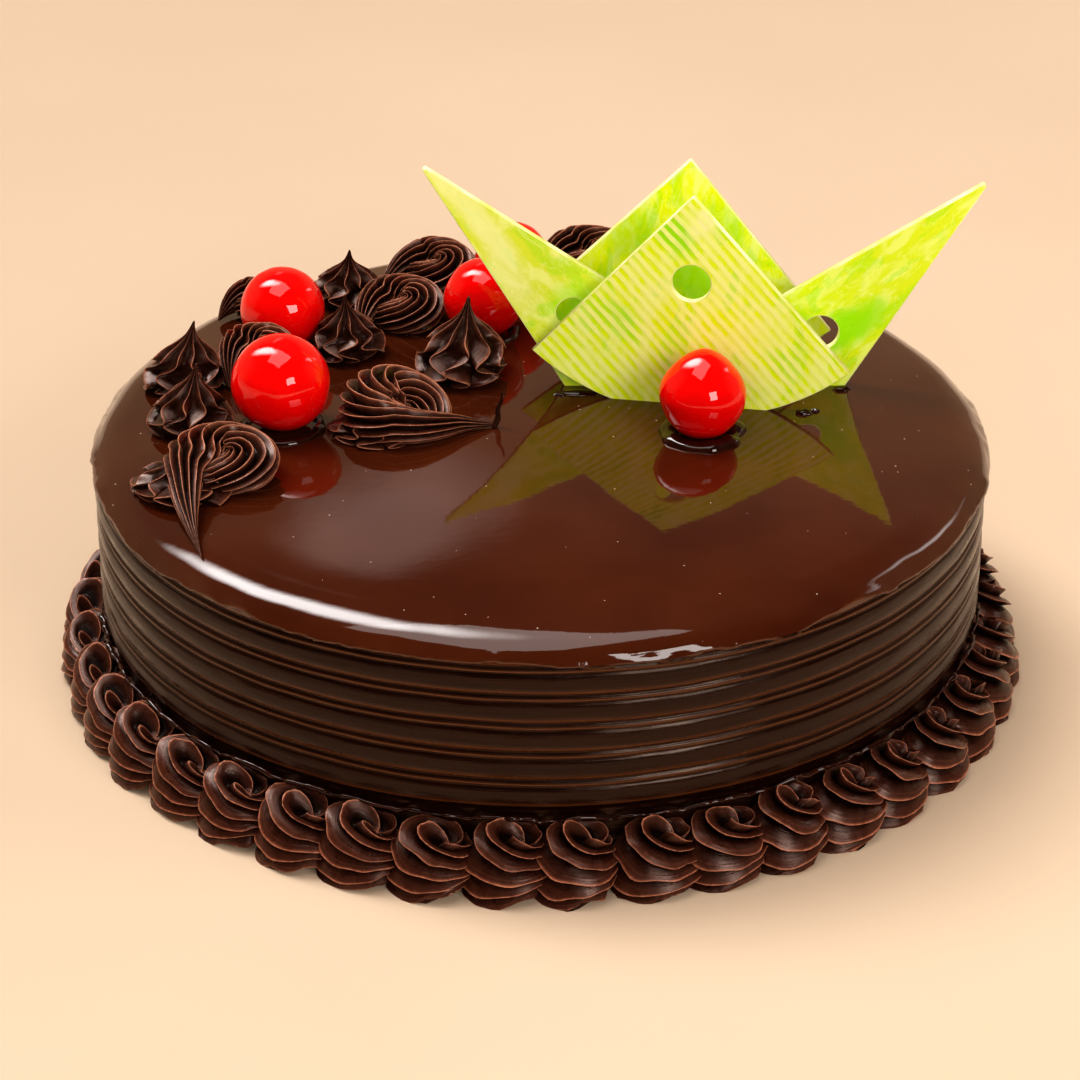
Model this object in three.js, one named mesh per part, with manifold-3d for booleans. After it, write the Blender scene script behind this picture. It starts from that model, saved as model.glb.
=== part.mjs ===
// An uncut round truffle cake: a glazed cake with combed sides, a piped border of shells round its foot,
// and on its top star drops, piped rosettes, glazed cherries and four upright sugar-green chocolate panels.
// Millimetres, +Z up. The origin is on the axis of the cake, on the surface that it stands on.

import * as THREE from "three";
import { mergeVertices } from "three/addons/utils/BufferGeometryUtils.js";
import Module from "manifold-3d";

const wasm = await Module();
wasm.setup();

// ---- Driving dimensions -------------------------------------------------------------------------

const CAKE_RADIUS = 101.5;
const CAKE_HEIGHT = 58;
const CAKE_SIDES = 50;
const FLAT_TOP_RADIUS = 96.4;
const SHOULDER_DROP = 4.1;
const SHOULDER_STEPS = 3;

// The comb leaves bands on the side, each a broad face with a narrow raised line above it.
const BAND_COUNT = 5;
const BANDS_FROM = 18.5;
const BANDS_TO = 53.3;
const BAND_FACE_SHARE = 0.66;
const GROOVE_DEPTH = 0.8;
const LINE_DEPTH = 0.25;
const LINE_PLACE = 0.6;
const FOOT_RADIUS = 100.2;

// Border shells lie in a closed ring round the foot of the cake.
const SHELL_COUNT = 42;
const SHELL_STEPS = 5;
const SHELL_INNER_RADIUS = 101;
const SHELL_OUTER_RADIUS = 112;
const SHELL_HEIGHT = 18.6;
const SHELL_LOBE_DEPTH = 4.2;
const SHELL_FIN_DEPTH = 0.9;
const SHELL_FIN_SLANT = 3.6;
const SHELL_TOP_SINK = 3.8;
const SHELL_ROUNDNESS = 0.6;

// Panels: sectors cut from a thin disc of chocolate, each with one round hole and a blunt tip.
const PANEL_THICKNESS = 1.8;
const PANEL_TIP_ROUND = 0.6;
const SLOT_CLEARANCE = 0.3;
const ARC_STEPS = 9;
const HOLE_STEPS = 14;

// apex: where the two straight edges would meet. lean: turn in the panel's own plane. yaw: turn about Z.
const PANELS = [
  { name: "panel_front", apex: [34.3, 10, 109.4], radius: 54.6, angle: 84, lean: 0, yaw: -10, hole: [21.1, 4.45] },
  { name: "panel_back", apex: [34.7, 34, 108.6], radius: 54.6, angle: 84, lean: 4, yaw: 0, hole: [21.1, 4.45] },
  { name: "shard_left", apex: [-27.8, 20, 113.6], radius: 68, angle: 25, lean: -43.5, yaw: 0, hole: [51.2, 3.8] },
  { name: "shard_right", apex: [102.0, 20, 109.5], radius: 63.5, angle: 27, lean: 44.5, yaw: 0, hole: [53.2, 4.2] },
];

// at: centre of the foot on the top. tip: where the drawn-off point ends, measured from that centre.
const DROP_FINS = 9;
const DROP_TWIST = 0.5;
const DROPS = [
  { name: "star_drop_1", at: [-79.8, -3.6], radius: 9.2, tip: [2.6, 1.0], height: 16 },
  { name: "star_drop_2", at: [-82.6, 19.4], radius: 8.8, tip: [2.8, 1.0], height: 16 },
  { name: "star_drop_3", at: [-47.2, 67.0], radius: 8.5, tip: [1.0, -1.0], height: 14 },
  { name: "star_drop_4", at: [-45.4, 37.2], radius: 8.2, tip: [-0.6, 0.0], height: 15 },
  { name: "star_drop_5", at: [-18.3, 26.0], radius: 9.9, tip: [0.8, 1.6], height: 19 },
];

// tail: direction in degrees from +X, and how far the drawn-off end reaches from the centre.
const ROSETTE_RIDGES = 11;
const ROSETTE_TWIST = 1.7;
const ROSETTES = [
  { name: "rosette_1", at: [-71.8, -26.4], radius: 13.2, height: 11.5, tail: [-86.5, 38] },
  { name: "rosette_2", at: [-34.6, 0.4], radius: 12.6, height: 12.5, tail: [-10.5, 25.4] },
  { name: "rosette_3", at: [-65.8, 26.6], radius: 8.4, height: 11, tail: [0, 0] },
  { name: "rosette_4", at: [-69.2, 57.8], radius: 6.4, height: 8.5, tail: [0, 0] },
  { name: "rosette_5", at: [-32.4, 54.6], radius: 9.5, height: 10.5, tail: [0, 0] },
  { name: "rosette_6", at: [-26.2, 76.0], radius: 9.6, height: 10.5, tail: [0, 0] },
  { name: "rosette_7", at: [12.2, 82.2], radius: 11.4, height: 11, tail: [0, 0] },
];

// Each cherry sits a little way into the glaze, so its foot is flat on the top of the cake.
const CHERRY_SIDES = 15;
const CHERRY_STEPS = 7;
const CHERRIES = [
  { name: "cherry_1", at: [-61.2, 44.4, 66.0], radius: 10.2, stretch: 1 },
  { name: "cherry_2", at: [-58.5, -2.2, 69.0], radius: 11.3, stretch: 1 },
  { name: "cherry_3", at: [-13.4, 49.2, 66.8], radius: 9.6, stretch: 1 },
  { name: "cherry_4", at: [36.6, -5.8, 67.8], radius: 9.9, stretch: 1.08 },
  { name: "cherry_5", at: [-6.8, 72.4, 66.8], radius: 9.2, stretch: 1 },
];

// ---- Materials ----------------------------------------------------------------------------------

const GLAZE = new THREE.MeshStandardMaterial({ color: 0x3a2018, roughness: 0.12, metalness: 0 });
const PIPING = new THREE.MeshStandardMaterial({ color: 0x34201b, roughness: 0.4, metalness: 0 });
const CHERRY = new THREE.MeshStandardMaterial({ color: 0xe01008, roughness: 0.08, metalness: 0 });
const PANEL = new THREE.MeshStandardMaterial({ color: 0xcfe24a, roughness: 0.3, metalness: 0 });

// ---- Shared shaping -----------------------------------------------------------------------------

const radians = THREE.MathUtils.degToRad;
const mix = THREE.MathUtils.lerp;

// Turns a profile of [radius, height] points about Z. reshape may move each point: it gets the point's
// turn from the front, its radius and height, its place along the profile and its step round the axis.
function turn(profile, sides, reshape = (angle, radius, height) => [angle, radius, height]) {
  const points = profile.map(([radius, height]) => new THREE.Vector2(radius, height));
  const geometry = new THREE.LatheGeometry(points, sides);
  geometry.rotateX(Math.PI / 2);
  const position = geometry.attributes.position;
  for (let index = 0; index < position.count; index += 1) {
    const row = index % points.length;
    const step = Math.floor(index / points.length) % sides;
    const [radius, height] = profile[row];
    const [angle, reach, level, shiftX = 0, shiftY = 0] = reshape(
      (step / sides) * 2 * Math.PI, radius, height, row, step);
    position.setXYZ(index, reach * Math.sin(angle) + shiftX, -reach * Math.cos(angle) + shiftY, level);
  }
  return geometry;
}

function asSolid(geometry) {
  const bare = geometry.clone();
  bare.deleteAttribute("normal");
  bare.deleteAttribute("uv");
  const welded = mergeVertices(bare, 1e-4);
  const vertProperties = new Float32Array(welded.attributes.position.array);
  const triVerts = new Uint32Array(welded.index.array);
  return new wasm.Manifold(new wasm.Mesh({ numProp: 3, vertProperties, triVerts }));
}

function asGeometry(solid) {
  const { vertProperties, triVerts } = solid.getMesh();
  const geometry = new THREE.BufferGeometry();
  geometry.setAttribute("position", new THREE.BufferAttribute(new Float32Array(vertProperties), 3));
  geometry.setIndex(new THREE.BufferAttribute(new Uint32Array(triVerts), 1));
  geometry.computeVertexNormals();
  return geometry;
}

function named(name, geometry, material) {
  const mesh = new THREE.Mesh(geometry, material);
  mesh.name = name;
  return mesh;
}

// ---- Panels -------------------------------------------------------------------------------------

// A sector hanging down from its apex. grow widens it all round, for the slot that the panel stands in.
function sectorGeometry({ radius, angle, hole }, thickness, grow = 0) {
  const half = radians(angle) / 2;
  const apexLift = grow / Math.sin(half);
  const round = PANEL_TIP_ROUND + grow;
  const roundCentre = apexLift - round / Math.sin(half);
  const reach = radius + grow + apexLift;
  const outline = new THREE.Shape();
  outline.absarc(0, roundCentre, round, Math.PI - half, half, true);
  for (let step = 0; step <= ARC_STEPS; step += 1) {
    const along = mix(half, -half, step / ARC_STEPS);
    outline.lineTo(reach * Math.sin(along), apexLift - reach * Math.cos(along));
  }
  outline.closePath();
  if (grow === 0) {
    const [depth, holeRadius] = hole;
    outline.holes.push(new THREE.Path().absarc(0, -depth, holeRadius, 0, 2 * Math.PI, false));
  }
  const geometry = new THREE.ExtrudeGeometry(outline, {
    depth: thickness, bevelEnabled: false, curveSegments: HOLE_STEPS / 2,
  });
  geometry.translate(0, 0, -thickness / 2);
  return geometry.rotateX(Math.PI / 2);
}

function placePanel(object, { apex, lean, yaw }) {
  object.position.set(...apex);
  object.rotation.set(0, radians(lean), radians(yaw), "ZYX");
  object.updateMatrixWorld(true);
  return object;
}

function panelMesh(panel) {
  return placePanel(named(panel.name, sectorGeometry(panel, PANEL_THICKNESS), PANEL), panel);
}

function panelSlot(panel) {
  const slot = sectorGeometry(panel, PANEL_THICKNESS + 2 * SLOT_CLEARANCE, SLOT_CLEARANCE);
  return slot.applyMatrix4(placePanel(new THREE.Object3D(), panel).matrixWorld);
}

// ---- Cake body ----------------------------------------------------------------------------------

function cakeProfile() {
  const profile = [[0, 0], [FOOT_RADIUS, 0], [FOOT_RADIUS, BANDS_FROM - GROOVE_DEPTH]];
  const pitch = (BANDS_TO - BANDS_FROM) / BAND_COUNT;
  for (let band = 0; band < BAND_COUNT; band += 1) {
    const foot = BANDS_FROM + band * pitch;
    const faceTop = foot + BAND_FACE_SHARE * pitch;
    profile.push([CAKE_RADIUS, foot + GROOVE_DEPTH]);
    profile.push([CAKE_RADIUS, faceTop]);
    profile.push([CAKE_RADIUS - GROOVE_DEPTH, faceTop + GROOVE_DEPTH]);
    profile.push([CAKE_RADIUS - LINE_DEPTH, mix(faceTop, foot + pitch, LINE_PLACE)]);
    profile.push([CAKE_RADIUS - GROOVE_DEPTH, foot + pitch]);
  }
  const shoulderWidth = CAKE_RADIUS - FLAT_TOP_RADIUS;
  for (let step = 0; step <= SHOULDER_STEPS; step += 1) {
    const along = (step / SHOULDER_STEPS) * (Math.PI / 2);
    profile.push([
      FLAT_TOP_RADIUS + shoulderWidth * Math.cos(along),
      CAKE_HEIGHT - SHOULDER_DROP * (1 - Math.sin(along)),
    ]);
  }
  profile.push([0, CAKE_HEIGHT]);
  return profile;
}

function cakeMesh() {
  let cake = asSolid(turn(cakeProfile(), CAKE_SIDES));
  for (const panel of PANELS) {
    cake = cake.subtract(asSolid(panelSlot(panel)));
  }
  return named("cake_body", asGeometry(cake), GLAZE);
}

// ---- Border of shells ---------------------------------------------------------------------------

// [out, up] as shares of the width and height. Up the outer face every other point is the crest of a fin.
const SHELL_PROFILE = [
  [0, 0], [0.9, 0], [0.97, 0.04], [1, 0.22], [0.88, 0.33], [0.96, 0.46], [0.8, 0.57], [0.82, 0.72],
  [0.62, 0.84], [0.38, 1], [0.1, 0.78], [0, 0],
];
const SHELL_CREST_FROM = 3;
const SHELL_FACE_TO = 8;

// Shells meet in a crease, bulge out between, and their fins run down from the left side to the right.
function shellBorderMesh() {
  const width = SHELL_OUTER_RADIUS - SHELL_INNER_RADIUS;
  const profile = SHELL_PROFILE.map(([out, up]) => [SHELL_INNER_RADIUS + out * width, up * SHELL_HEIGHT]);
  const border = turn(profile, SHELL_COUNT * SHELL_STEPS, (angle, radius, height, row, step) => {
    if (row === 0 || row > SHELL_FACE_TO) {
      return [angle, radius, height];
    }
    const along = (step % SHELL_STEPS) / SHELL_STEPS;
    const lobe = Math.sin(Math.PI * along) ** SHELL_ROUNDNESS;
    const share = height / SHELL_HEIGHT;
    const valley = (row - SHELL_CREST_FROM) % 2 === 0 ? 0 : SHELL_FIN_DEPTH * lobe * share;
    const inset = SHELL_LOBE_DEPTH * (1 - lobe) * (1 - 0.5 * share);
    const slant = SHELL_FIN_SLANT * (0.5 - along) * Math.sin(Math.PI * share);
    const sink = SHELL_TOP_SINK * (1 - lobe) * share;
    return [angle, radius - inset - valley, height + slant - sink];
  });
  return named("shell_border", border, PIPING);
}

// ---- Star drops ---------------------------------------------------------------------------------

// A drop flares over its foot, draws in along a hollow curve and ends in a fine point, off to one side.
const DROP_PROFILE = [
  [0, 0], [0.86, 0], [1, 0.1], [0.93, 0.24], [0.7, 0.38], [0.5, 0.52], [0.3, 0.68], [0.13, 0.85], [0, 1],
];
const DROP_FIN_DEPTH = [0, 0.1, 0.16, 0.16, 0.2, 0.22, 0.22, 0.2, 0];

function dropMesh({ name, at, radius, tip, height }) {
  const profile = DROP_PROFILE.map(([out, up]) => [out * radius, CAKE_HEIGHT + up * height]);
  const drop = turn(profile, 2 * DROP_FINS, (angle, reach, level, row, step) => {
    const share = (level - CAKE_HEIGHT) / height;
    const valley = step % 2 === 1 ? 1 - DROP_FIN_DEPTH[row] : 1;
    const lean = share * share;
    return [
      angle + DROP_TWIST * share, reach * valley, level,
      at[0] + tip[0] * lean, at[1] + tip[1] * lean,
    ];
  });
  return named(name, drop, PIPING);
}

// ---- Rosettes -----------------------------------------------------------------------------------

// A rosette is a low ring of turned ridges with a dip in its middle. Two of them trail off into a tail.
const ROSETTE_PROFILE = [
  [0, 0], [0.9, 0], [1, 0.2], [0.96, 0.48], [0.84, 0.76], [0.66, 0.95], [0.46, 1], [0.26, 0.93], [0, 0.82],
];
const ROSETTE_RIDGE_DEPTH = [0, 0.04, 0.09, 0.1, 0.1, 0.1, 0.08, 0.05, 0];
const TAIL_HALF_WIDTH = 0.24;

function rosetteMesh({ name, at, radius, height, tail }) {
  const [tailDirection, tailReach] = tail;
  const tailAngle = radians(tailDirection + 90);
  const profile = ROSETTE_PROFILE.map(([out, up]) => [out * radius, CAKE_HEIGHT + up * height]);
  const sides = 2 * ROSETTE_RIDGES;
  const rosette = turn(profile, sides, (angle, reach, level, row, step) => {
    const share = reach / radius;
    const turned = tailAngle + angle + ROSETTE_TWIST * (1 - share);
    const offTail = Math.abs(Math.atan2(Math.sin(turned - tailAngle), Math.cos(turned - tailAngle)));
    const onTail = tailReach > 0 ? Math.exp(-offTail / TAIL_HALF_WIDTH) * share ** 3 : 0;
    const valley = step % 2 === 1 ? ROSETTE_RIDGE_DEPTH[row] : 0;
    const stretched = mix(reach, Math.max(tailReach, reach) * share, onTail) * (1 - valley * (1 - onTail));
    const rise = (level - CAKE_HEIGHT) * (1 - 0.72 * onTail) * (row > 4 ? 1 - valley : 1);
    return [turned, stretched, CAKE_HEIGHT + rise, at[0], at[1]];
  });
  return named(name, rosette, PIPING);
}

// ---- Cherries -----------------------------------------------------------------------------------

function cherryMesh({ name, at, radius, stretch }) {
  const [x, y, centre] = at;
  const tall = radius * stretch;
  const footAngle = Math.asin((CAKE_HEIGHT - centre) / tall);
  const profile = [[0, CAKE_HEIGHT]];
  for (let step = 0; step <= CHERRY_STEPS; step += 1) {
    const rise = mix(footAngle, Math.PI / 2, step / CHERRY_STEPS);
    const atPole = step === CHERRY_STEPS;
    profile.push([atPole ? 0 : radius * Math.cos(rise), centre + tall * Math.sin(rise)]);
  }
  profile[1][1] = CAKE_HEIGHT;
  const cherry = turn(profile, CHERRY_SIDES, (angle, reach, level) => [angle, reach, level, x, y]);
  return named(name, cherry, CHERRY);
}

// ---- The whole cake -----------------------------------------------------------------------------

const toppings = new THREE.Group();
toppings.add(...DROPS.map(dropMesh), ...ROSETTES.map(rosetteMesh), ...CHERRIES.map(cherryMesh));

const panels = new THREE.Group();
panels.add(...PANELS.map(panelMesh));

const truffleCake = new THREE.Group();
truffleCake.add(cakeMesh(), shellBorderMesh(), toppings, panels);

export default truffleCake;
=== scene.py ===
# Looks of an uncut truffle cake: mirror-glazed and combed, with a piped border, piped ganache on top,
# glazed cherries and green marbled chocolate panels. Metres, +Z up, the same frame as the solids.

import math
import random

import bmesh
import bpy
from mathutils import Matrix, Vector, noise


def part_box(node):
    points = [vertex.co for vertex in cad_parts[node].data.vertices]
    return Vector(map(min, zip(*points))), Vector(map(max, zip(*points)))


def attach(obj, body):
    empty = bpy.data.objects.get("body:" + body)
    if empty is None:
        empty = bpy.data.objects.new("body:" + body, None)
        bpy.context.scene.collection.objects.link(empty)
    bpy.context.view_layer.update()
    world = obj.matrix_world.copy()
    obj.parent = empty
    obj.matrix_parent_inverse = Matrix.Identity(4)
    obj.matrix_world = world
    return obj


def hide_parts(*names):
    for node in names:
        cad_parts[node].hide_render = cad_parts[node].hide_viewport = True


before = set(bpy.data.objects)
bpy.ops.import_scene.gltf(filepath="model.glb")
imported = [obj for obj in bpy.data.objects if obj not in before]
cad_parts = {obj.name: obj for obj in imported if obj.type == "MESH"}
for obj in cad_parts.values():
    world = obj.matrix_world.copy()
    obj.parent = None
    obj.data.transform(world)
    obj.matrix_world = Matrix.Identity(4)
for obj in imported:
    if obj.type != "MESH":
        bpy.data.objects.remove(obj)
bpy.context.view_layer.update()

# ---- Camera ----------------------------------------------
# The photograph's view: a long lens, 0.8 m away, looking down on the front of the cake and aimed at a
# point about half way up its side.

MM = 0.001
LOOK_DOWN = math.radians(28.2)
LOOK_AT = Vector((0, 0, 27.5 * MM))
CAMERA_DISTANCE = 800 * MM


def link_object(name, data):
    """Puts a new object with this data into the scene."""
    made = bpy.data.objects.new(name, data)
    bpy.context.scene.collection.objects.link(made)
    return made


camera_data = bpy.data.cameras.new("camera")
camera_data.lens = 115
camera_data.sensor_width = 36
camera = link_object("camera", camera_data)
bpy.context.scene.camera = camera
toward_camera = Vector((0, -math.cos(LOOK_DOWN), math.sin(LOOK_DOWN)))
camera.location = LOOK_AT + toward_camera * CAMERA_DISTANCE
camera.rotation_euler = (math.pi / 2 - LOOK_DOWN, 0, 0)

# ---- Glazed cake -----------------------------------------
# A round sponge cake under dark truffle glaze. The glaze is poured, runs over the shoulder and sets
# in an uneven lip. Below it the side was dragged round with a toothed comb while it was soft.

cake_low, cake_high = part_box("cake_body")
CAKE_RADIUS = (cake_high.y - cake_low.y) / 2
CAKE_TOP = cake_high.z
FOOT_DEPTH = 1.5 * MM
FOOT_RADIUS = CAKE_RADIUS - FOOT_DEPTH
SHOULDER_ROUND = 5.2 * MM
SHOULDER_WIDTH = 12 * MM
SHOULDER_WIDTH_BEHIND = 4.5 * MM
LIP_HEIGHT = 53.2 * MM
COMB_FROM = 18.4 * MM
COMB_PITCH = 6.75 * MM
COMB_COUNT = 5
# Points nearer together than this are one.
SAME_PLACE = 0.001 * MM
# Steps round the cake and over the shoulder, and the close rows of points up the combed side.
ROUND_STEPS = 480
SHOULDER_STEPS = 24
ROWS_FROM = 16 * MM
ROW_STEP = 0.3 * MM
# The flat top's rings as shares of its radius. From one share outward, over another, its edge bends to
# the shoulder, which is wider at the front.
FLAT_RINGS = (0.985, 0.95, 0.88, 0.75, 0.55, 0.3, 0.1, 0)
EDGE_FROM = 0.93
EDGE_OVER = 0.07
# One tooth mark up the side, as (share of the pitch, depth in mm, how much of a narrow edge it is). Narrow
# edges are coloured lighter, partly as glaze drawn out thinly and partly as a painted highlight.
# From below: the broad face's curled lower lip, the broad face, a groove, a narrow ridge, a groove.
COMB_MARK = [(0.0, 0.95, 0.0), (0.05, 0.62, 0.2), (0.11, 0.34, 1.0), (0.17, 0.18, 0.3), (0.28, 0.06, 0.0),
             (0.40, 0.00, 0.0), (0.52, 0.05, 0.0), (0.62, 0.16, 0.0), (0.72, 0.40, 0.0), (0.76, 0.85, 0.0),
             (0.80, 0.50, 0.3), (0.85, 0.28, 0.9), (0.90, 0.30, 0.2), (0.95, 0.55, 0.0), (1.0, 0.95, 0.0)]
# Where the lip runs lower: turn round the cake, half width in radians, and how far down in mm.
LIP_RUNS = [(-1.43, 0.10, 1.3), (-1.28, 0.035, 1.2), (-1.02, 0.05, 1.5), (-1.78, 0.12, 0.9)]


def between(table, at):
    """Values of a table at a place along its first column, running straight between its rows."""
    low, high = next(pair for pair in zip(table, table[1:]) if at <= pair[1][0])
    share = (at - low[0]) / (high[0] - low[0])
    return [start + (end - start) * share for start, end in zip(low[1:], high[1:])]


def ease(value):
    """Smooth step from 0 to 1."""
    value = min(1, max(0, value))
    return value * value * (3 - 2 * value)


def ripple(x, y, scale, level, shift=0):
    """Smooth noise at a point, finer with a larger scale. The level and the shift pick the pattern."""
    return noise.noise(Vector((x * scale + shift, y * scale, level)))


def shoulder_width(turn):
    """How far in from the edge the top starts to fall: the glaze was poured thicker toward the front."""
    return SHOULDER_WIDTH_BEHIND + (SHOULDER_WIDTH - SHOULDER_WIDTH_BEHIND) * (0.5 - 0.5 * math.sin(turn))


def top_height(x, y):
    """Height of the glaze on top of the cake, which falls away in a round toward the edge."""
    width = shoulder_width(math.atan2(y, x))
    out = (math.hypot(x, y) - CAKE_RADIUS + width) / width
    return CAKE_TOP - SHOULDER_ROUND * (1 - math.sqrt(1 - min(1, max(0, out)) ** 2))


def comb_mark(height):
    """Depth of the comb's mark and how much of a narrow edge it is, at a height up the side. A narrow edge
    is coloured lighter, partly as thinned glaze and partly as a painted highlight.
    """
    marks = (height - COMB_FROM) / COMB_PITCH
    if marks < 0:
        to_foot = ease(-marks * 6)
        return FOOT_DEPTH * to_foot + COMB_MARK[0][1] * MM * (1 - to_foot), 0
    if marks > COMB_COUNT + 0.3:
        return 0.02 * MM, 0
    depth, edge = between(COMB_MARK, marks % 1)
    return depth * MM, edge


def lip_height(turn):
    """Height of the glaze's lower edge at a turn round the cake, with thicker runs near the front."""
    x, y = math.cos(turn), math.sin(turn)
    wander = 1.3 * ripple(x, y, 3, 4) + 0.8 * ripple(x, y, 14, 9) + 0.5 * ripple(x, y, 36, 15)
    runs = 0
    for at, wide, deep in LIP_RUNS:
        off = (turn - at + math.pi) % math.tau - math.pi
        runs += deep * math.exp(-(off / wide) ** 2)
    return LIP_HEIGHT + (wander - runs) * MM


def spin_round(mesh, points, lines, steps):
    """Spins an outline once round the upright axis."""
    bmesh.ops.spin(mesh, geom=points + lines, cent=(0, 0, 0), axis=(0, 0, 1), angle=math.tau, steps=steps,
                   use_merge=True, use_duplicate=False)


def mesh_object(name, mesh, materials):
    """Makes a finished mesh an object at the origin."""
    data = bpy.data.meshes.new(name)
    mesh.to_mesh(data)
    mesh.free()
    for material in materials:
        data.materials.append(material)
    return link_object(name, data)


cake_mesh = bmesh.new()
thin_and_lit_of = cake_mesh.verts.layers.float.new("thin_and_lit")
outline = [(0, 0), (FOOT_RADIUS, 0), (FOOT_RADIUS, 8 * MM), (FOOT_RADIUS, 14 * MM)]
row_count = int((CAKE_TOP - SHOULDER_ROUND - ROWS_FROM) / ROW_STEP)
outline += [(CAKE_RADIUS, ROWS_FROM + row * ROW_STEP) for row in range(row_count)]
for step in range(SHOULDER_STEPS + 1):
    along = math.pi / 2 * step / SHOULDER_STEPS
    outline.append((CAKE_RADIUS - SHOULDER_WIDTH * (1 - math.cos(along)),
                    CAKE_TOP - SHOULDER_ROUND * (1 - math.sin(along))))
flat_radius = CAKE_RADIUS - SHOULDER_WIDTH
outline += [(flat_radius * share, CAKE_TOP) for share in FLAT_RINGS]
points = [cake_mesh.verts.new((0, -radius, height)) for radius, height in outline]
lines = [cake_mesh.edges.new(pair) for pair in zip(points, points[1:])]
spin_round(cake_mesh, points, lines, ROUND_STEPS)
bmesh.ops.remove_doubles(cake_mesh, verts=cake_mesh.verts, dist=SAME_PLACE)
for vert in cake_mesh.verts:
    radius = math.hypot(vert.co.x, vert.co.y)
    height = vert.co.z
    if radius < flat_radius * EDGE_FROM or height < ROWS_FROM - 0.5 * MM:
        continue
    turn = math.atan2(vert.co.y, vert.co.x)
    x, y = math.cos(turn), math.sin(turn)
    shoulder = max(0, (height - (CAKE_TOP - SHOULDER_ROUND)) / SHOULDER_ROUND)
    width = shoulder_width(turn)
    if radius < flat_radius * 0.999:
        edge_near = ease((radius / flat_radius - EDGE_FROM) / EDGE_OVER)
        radius *= 1 + edge_near * ((CAKE_RADIUS - width) / flat_radius - 1)
        vert.co.x = radius * x
        vert.co.y = radius * y
        vert.co.z -= 0.5 * MM * edge_near * (0.5 + 0.5 * ripple(x, y, 4, 11))
        continue
    radius = CAKE_RADIUS - (CAKE_RADIUS - radius) * width / SHOULDER_WIDTH
    drift = 0.4 * MM * ripple(x, y, 2.2, height * 50)
    drift += 0.14 * MM * ripple(x, y, 9, height * 150)
    drag = 0.07 * MM * ripple(x, y, 16, height * 900)
    swell = 0.16 * MM * ripple(x, y, 5, height * 45 + 7)
    depth, thin_and_lit = comb_mark(height + drift)
    edge = lip_height(turn)
    covered = ease((height - edge) / (0.7 * MM) + 0.5)
    proud = 0.85 * MM * covered * (1 + 0.9 * ripple(x, y, 9, 2))
    near_lip = max(0, 1 - (height - edge) / (1.9 * MM)) if height > edge else 0
    run = 0.5 * MM * ripple(x, y, 7, 30 + height * 120)
    run += 0.16 * MM * ripple(x, y, 16, 50 + height * 260)
    combed_radius = CAKE_RADIUS - 0.12 * MM - depth + drag * (1 - covered)
    glazed_radius = radius + proud * near_lip + run * (0.3 + 0.7 * math.sin(math.pi * min(1, shoulder)))
    new_radius = combed_radius * (1 - covered) + glazed_radius * covered + swell
    vert.co.x = new_radius * x
    vert.co.y = new_radius * y
    vert.co.z -= 0.5 * MM * shoulder ** 2 * (0.5 + 0.5 * ripple(x, y, 4, 11))
    # The lip's edge gets the lighter thinned-glaze colour, partly as a painted highlight.
    rim = covered * max(0, 1 - abs(height - edge - 0.25 * MM) / (0.45 * MM))
    vert[thin_and_lit_of] = max(thin_and_lit * (1 - covered), 0.8 * rim)
bmesh.ops.recalc_face_normals(cake_mesh, faces=cake_mesh.faces)
for face in cake_mesh.faces:
    face.smooth = True
    face.material_index = 1 if face.calc_center_median().z < LIP_HEIGHT - 0.6 * MM else 0


def start_material(name, base_color, roughness, ior=1.5):
    """A node material with its constant values on the shader's own sockets."""
    material = bpy.data.materials.new(name)
    material.use_nodes = True
    shader = material.node_tree.nodes["Principled BSDF"]
    shader.inputs["Base Color"].default_value = (*base_color, 1)
    shader.inputs["Roughness"].default_value = roughness
    shader.inputs["IOR"].default_value = ior
    return material, material.node_tree, shader


def socket(tree, value, target):
    """Links a socket, or sets a constant."""
    if isinstance(value, bpy.types.NodeSocket):
        tree.links.new(value, target)
    else:
        target.default_value = value


def math_node(tree, operation, first, second=0.0, third=0.0):
    """The result of a Math node on up to three sockets or numbers."""
    node = tree.nodes.new("ShaderNodeMath")
    node.operation = operation
    for target, value in zip(node.inputs, (first, second, third)):
        socket(tree, value, target)
    return node.outputs[0]


def vector_math(tree, operation, vector, other=None):
    """The value of a Vector Math node on one or two vectors."""
    node = tree.nodes.new("ShaderNodeVectorMath")
    node.operation = operation
    tree.links.new(vector, node.inputs[0])
    if other is not None:
        socket(tree, other, node.inputs[1])
    return node.outputs["Value"]


def remap(tree, value, low, high, to_low=0.0, to_high=1.0):
    """Carries a value from one range to another, smoothly and held at the ends."""
    node = tree.nodes.new("ShaderNodeMapRange")
    node.interpolation_type = "SMOOTHSTEP"
    for target, number in zip(node.inputs, (value, low, high, to_low, to_high)):
        socket(tree, number, target)
    return node.outputs[0]


def mapped(tree, vector, scale=(1, 1, 1), turn=0.0, move=(0, 0, 0)):
    """Coordinates moved, turned about Z and stretched."""
    node = tree.nodes.new("ShaderNodeMapping")
    node.inputs["Location"].default_value = move
    node.inputs["Rotation"].default_value = (0, 0, turn)
    node.inputs["Scale"].default_value = scale
    tree.links.new(vector, node.inputs["Vector"])
    return node.outputs["Vector"]


def object_place(tree, scale=(1, 1, 1)):
    """Object coordinates in metres, stretched."""
    return mapped(tree, tree.nodes.new("ShaderNodeTexCoord").outputs["Object"], scale)


def noise_value(tree, vector, scale, detail=3.0, roughness=0.5, distortion=0.0):
    """A noise pattern's value."""
    node = tree.nodes.new("ShaderNodeTexNoise")
    for name, value in (("Scale", scale), ("Detail", detail), ("Roughness", roughness),
                        ("Distortion", distortion)):
        node.inputs[name].default_value = value
    tree.links.new(vector, node.inputs["Vector"])
    return node.outputs["Fac"]


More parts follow.
